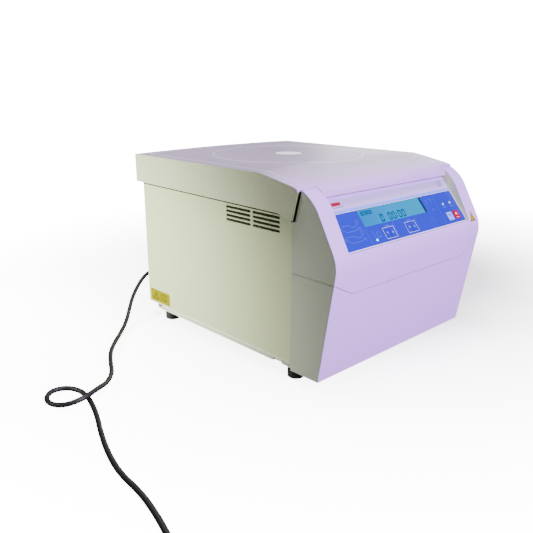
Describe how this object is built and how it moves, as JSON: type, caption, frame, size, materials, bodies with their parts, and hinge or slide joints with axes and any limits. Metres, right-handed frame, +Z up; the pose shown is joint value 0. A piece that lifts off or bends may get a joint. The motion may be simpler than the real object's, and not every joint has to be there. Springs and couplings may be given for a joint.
{
  "type": "laboratory centrifuge",
  "caption": "Bench laboratory centrifuge with a hinged lid, sloping key panel, swing-out rotor in a steel chamber, side vents, rubber feet and a mains lead.",
  "frame": {"origin": "on the surface it stands on, under the middle of the machine's box without the mains lead", "axes": "+X to the machine's right as seen from the front, -Y towards the person at the key panel, +Z up"},
  "size_m": [0.7866, 0.7566, 0.303],
  "materials": {
    "tray_steel": "satin",
    "side_paint": "fine texture",
    "lid_paint": "fine texture",
    "front_plastic": "fine satin",
    "rubber": "matte",
    "seal_rubber": "matte",
    "chamber_steel": "brushed",
    "cast_alloy": "cast",
    "bearing_steel": "ground",
    "copper": "wound wire",
    "black_plastic": "fine grain",
    "panel_film": "printed film",
    "lcd_glass": "clear cover",
    "circuit_board": "solder mask",
    "cord_rubber": "satin",
    "liner_plastic": "moulded",
    "window_plastic": "frosted",
    "rotor_alloy": "anodised",
    "key_blue": "domed film",
    "key_start": "domed film",
    "key_stop": "domed film"
  },
  "bodies": {
    "housing": {"base_plate": "tray_steel", "right_side_panel": "side_paint", "left_side_panel": "side_paint", "rear_panel": "side_paint", "top_deck": "tray_steel", "front_cover_upper": "front_plastic", "front_cover_lower": "front_plastic", "rubber_feet": "rubber", "chamber_bowl": "chamber_steel", "chamber_seal": "seal_rubber", "guard_ring": "tray_steel", "motor_mount_plate": "tray_steel", "motor_dampers": "rubber", "motor_housing": "cast_alloy", "lower_bearing": "bearing_steel", "upper_bearing": "bearing_steel", "stator_core": "tray_steel", "stator_windings": "copper", "hinge_brackets": "tray_steel", "hinge_pins": "bearing_steel", "lid_springs": "bearing_steel", "latch_motor": "black_plastic", "control_panel": "panel_film", "lcd_display": "lcd_glass", "control_board": "circuit_board", "power_board": "circuit_board", "heat_sink": "cast_alloy", "mains_inlet": "black_plastic", "switch_frame": "black_plastic", "fan_frame": "black_plastic", "fan_guard": "bearing_steel", "panel_screws": "bearing_steel", "cord_connector": "cord_rubber", "power_cord": "cord_rubber", "cord_coil": "cord_rubber", "mains_plug": "cord_rubber"},
    "lid": {"lid_cover": "lid_paint", "lid_liner": "liner_plastic", "lid_window": "window_plastic", "window_frame": "liner_plastic", "hinge_arms": "tray_steel", "lid_strikers": "bearing_steel"},
    "rotor": {"rotor_shaft": "bearing_steel", "rotor_yoke": "rotor_alloy", "rotor_nut": "rotor_alloy", "motor_rotor": "tray_steel"},
    "bucket_a": {"bucket_1": "rotor_alloy"},
    "bucket_b": {"bucket_2": "rotor_alloy"},
    "bucket_c": {"bucket_3": "rotor_alloy"},
    "bucket_d": {"bucket_4": "rotor_alloy"},
    "latch": {"latch_hooks": "bearing_steel"},
    "rocker": {"power_rocker": "black_plastic"},
    "fan": {"fan_impeller": "black_plastic"},
    "speed_down": {"speed_down_key": "key_blue"},
    "speed_up": {"speed_up_key": "key_blue"},
    "time_down": {"time_down_key": "key_blue"},
    "time_up": {"time_up_key": "key_blue"},
    "start": {"start_key": "key_start"},
    "stop": {"stop_key": "key_stop"}
  },
  "joints": [
    {"name": "lid_hinge", "type": "hinge", "parent": "housing", "child": "lid", "pos_m": [0, 0.205, 0.235], "axis": [-1, 0, 0], "range_deg": [0, 80]},
    {"name": "rotor_spin", "type": "hinge", "parent": "housing", "child": "rotor", "pos_m": [0, 0.0405, 0.2], "axis": [0, 0, 1], "continuous": true},
    {"name": "bucket_a_swing", "type": "hinge", "parent": "rotor", "child": "bucket_a", "pos_m": [0.062, 0.0405, 0.222], "axis": [0, -1, 0], "range_deg": [0, 90]},
    {"name": "bucket_b_swing", "type": "hinge", "parent": "rotor", "child": "bucket_b", "pos_m": [0, 0.1025, 0.222], "axis": [1, 0, 0], "range_deg": [0, 90]},
    {"name": "bucket_c_swing", "type": "hinge", "parent": "rotor", "child": "bucket_c", "pos_m": [-0.062, 0.0405, 0.222], "axis": [0, 1, 0], "range_deg": [0, 90]},
    {"name": "bucket_d_swing", "type": "hinge", "parent": "rotor", "child": "bucket_d", "pos_m": [0, -0.0215, 0.222], "axis": [-1, 0, 0], "range_deg": [0, 90]},
    {"name": "latch_turn", "type": "hinge", "parent": "housing", "child": "latch", "pos_m": [0, -0.143, 0.25], "axis": [-1, 0, 0], "range_deg": [0, 25]},
    {"name": "rocker_tilt", "type": "hinge", "parent": "housing", "child": "rocker", "pos_m": [-0.06, 0.2183, 0.06], "axis": [-1, 0, 0], "range_deg": [0, 11.5]},
    {"name": "fan_spin", "type": "hinge", "parent": "housing", "child": "fan", "pos_m": [0.128, 0.208, 0.092], "axis": [0, 1, 0], "continuous": true},
    {"name": "speed_down_key_press", "type": "slide", "parent": "housing", "child": "speed_down", "axis": [0, 0.7705, -0.6374], "range_m": [0, 0.0006], "stiffness_N_per_m": 300},
    {"name": "speed_up_key_press", "type": "slide", "parent": "housing", "child": "speed_up", "axis": [0, 0.7705, -0.6374], "range_m": [0, 0.0006], "stiffness_N_per_m": 300},
    {"name": "time_down_key_press", "type": "slide", "parent": "housing", "child": "time_down", "axis": [0, 0.7705, -0.6374], "range_m": [0, 0.0006], "stiffness_N_per_m": 300},
    {"name": "time_up_key_press", "type": "slide", "parent": "housing", "child": "time_up", "axis": [0, 0.7705, -0.6374], "range_m": [0, 0.0006], "stiffness_N_per_m": 300},
    {"name": "start_key_press", "type": "slide", "parent": "housing", "child": "start", "axis": [0, 0.7705, -0.6374], "range_m": [0, 0.0006], "stiffness_N_per_m": 300},
    {"name": "stop_key_press", "type": "slide", "parent": "housing", "child": "stop", "axis": [0, 0.7705, -0.6374], "range_m": [0, 0.0006], "stiffness_N_per_m": 300}
  ]
}
